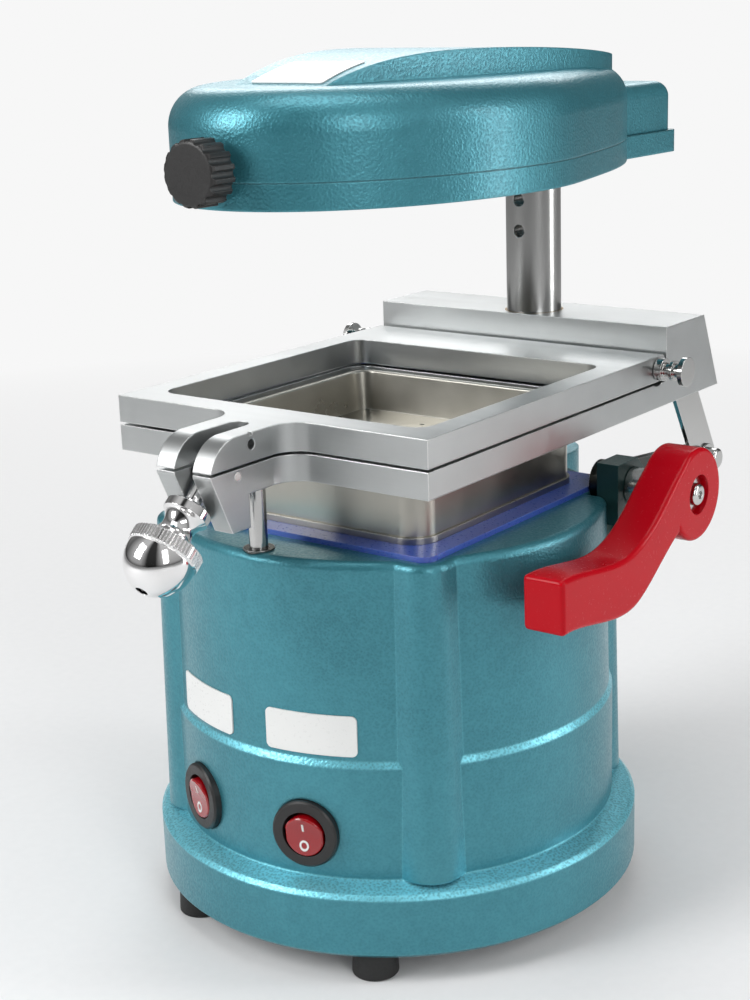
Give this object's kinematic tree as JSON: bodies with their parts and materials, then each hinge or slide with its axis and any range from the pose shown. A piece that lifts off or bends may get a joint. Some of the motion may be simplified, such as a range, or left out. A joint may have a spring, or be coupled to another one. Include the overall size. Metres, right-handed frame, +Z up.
{
  "type": "dental vacuum former",
  "caption": "Bench vacuum former: drum base with suction tray, lever-raised double sheet frame with swing-bolt clamp, and a swivelling heater head on a rear post.",
  "frame": {"origin": "on the drum's own axis, in the plane that the four rubber feet stand on", "axes": "+Z up, -Y towards the operator (switches and clamp), +X towards the lever"},
  "size_m": [0.1979, 0.3038, 0.3173],
  "materials": {
    "hammertone": "hammered enamel, satin",
    "satin_metal": "fine brushed",
    "cast_tray": "satin, matte inside",
    "bright_steel": "turned and polished",
    "chrome": "mirror",
    "dark_steel": "black oxide",
    "screw_steel": "plain",
    "zinc_sheet": "zinc plated",
    "red_plastic": "moulded, gloss",
    "black_plastic": "moulded",
    "black_rubber": "matte",
    "blue_silicone": "smooth",
    "white_plate": "printed film",
    "bronze": "sintered",
    "core_iron": "laminated",
    "fan_aluminium": "pressed",
    "heater_sheath": "heat darkened",
    "ceramic": "matte"
  },
  "bodies": {
    "base": {"base_housing": "hammertone", "base_plate": "zinc_sheet", "rubber_feet": "black_rubber", "foot_screws": "screw_steel", "post": "bright_steel", "post_bolt": "screw_steel", "guide_bush": "bronze", "switch_bezels": "black_plastic", "name_plates": "white_plate", "power_inlet": "black_plastic", "inlet_screws": "screw_steel", "fuse_holder": "black_plastic", "silicone_mat": "blue_silicone", "tray_base": "cast_tray", "forming_tray": "cast_tray", "stem_nut": "screw_steel", "suction_duct": "black_rubber", "fan_case": "zinc_sheet", "motor_bracket": "zinc_sheet", "standoffs": "screw_steel", "motor_can": "zinc_sheet", "stator": "core_iron", "motor_bearings": "screw_steel", "motor_screws": "screw_steel", "pivot_bracket": "dark_steel", "bracket_bolts": "screw_steel"},
    "carriage": {"lower_frame": "satin_metal", "post_bushes": "bronze", "hinge_pins": "bright_steel", "link_top_pin": "bright_steel", "bolt_pin": "bright_steel", "guide_rod": "bright_steel", "rod_clip": "screw_steel"},
    "sheet_frame": {"upper_frame": "satin_metal"},
    "swing_bolt": {"swing_bolt": "chrome"},
    "clamp_knob": {"clamp_knob": "chrome"},
    "lever": {"lever_shaft": "dark_steel", "crank_arm": "dark_steel", "link_pin": "screw_steel", "link_washer": "bright_steel", "handle": "red_plastic", "handle_washer": "bright_steel", "handle_screw": "bright_steel"},
    "link": {"link": "bright_steel"},
    "head": {"head_cover": "hammertone", "head_base": "hammertone", "head_screws": "screw_steel", "heater_reflector": "zinc_sheet", "heater_element": "heater_sheath", "heater_insulators": "ceramic", "head_knob": "black_plastic", "head_knob_stud": "bright_steel", "head_knob_nuts": "bright_steel", "head_set_screw": "screw_steel", "head_plate": "white_plate"},
    "rocker_left": {"rocker_left": "red_plastic"},
    "rocker_right": {"rocker_right": "red_plastic"},
    "motor_rotor": {"motor_shaft": "screw_steel", "motor_rotor": "core_iron", "impeller": "fan_aluminium"}
  },
  "joints": [
    {"name": "frame_slide", "type": "slide", "parent": "base", "child": "carriage", "axis": [0, 0, 1], "range_m": [-0.01, 0.036]},
    {"name": "sheet_frame_hinge", "type": "hinge", "parent": "carriage", "child": "sheet_frame", "pos_m": [0, 0.0845, 0.1936], "axis": [1, 0, 0], "range_deg": [-22, 0]},
    {"name": "swing_bolt_hinge", "type": "hinge", "parent": "carriage", "child": "swing_bolt", "pos_m": [0, -0.0981, 0.1852], "axis": [-1, 0, 0], "range_deg": [0, 131.5]},
    {"name": "clamp_knob_turn", "type": "hinge", "parent": "swing_bolt", "child": "clamp_knob", "pos_m": [0, -0.0981, 0.1852], "axis": [0, -0.749, -0.6626], "continuous": true},
    {"name": "lever_hinge", "type": "hinge", "parent": "base", "child": "lever", "pos_m": [0.09, 0.052, 0.1557], "axis": [1, 0, 0], "range_deg": [-7.2, 25.1]},
    {"name": "link_hinge", "type": "hinge", "parent": "lever", "child": "link", "pos_m": [0.066, 0.1306, 0.1477], "axis": [1, 0, 0], "range_deg": [-28.2, 8.1]},
    {"name": "head_swing", "type": "hinge", "parent": "base", "child": "head", "pos_m": [0, 0.1043, 0.28], "axis": [0, 0, 1], "range_deg": [-95, 95]},
    {"name": "rocker_left_tilt", "type": "hinge", "parent": "base", "child": "rocker_left", "pos_m": [-0.02983, -0.07574, 0.0525], "axis": [0.9304, -0.3665, 0], "range_deg": [-12, 0]},
    {"name": "rocker_right_tilt", "type": "hinge", "parent": "base", "child": "rocker_right", "pos_m": [0.01969, -0.07898, 0.0525], "axis": [0.9703, 0.2419, 0], "range_deg": [-12, 0]},
    {"name": "motor_spin", "type": "hinge", "parent": "base", "child": "motor_rotor", "pos_m": [0, 0, 0.06], "axis": [0, 0, 1], "continuous": true}
  ],
  "couplings": [
    {"joint": "lever_hinge", "follows": "frame_slide", "rad_per_m": 12.043},
    {"joint": "link_hinge", "follows": "frame_slide", "rad_per_m": -13.526}
  ]
}
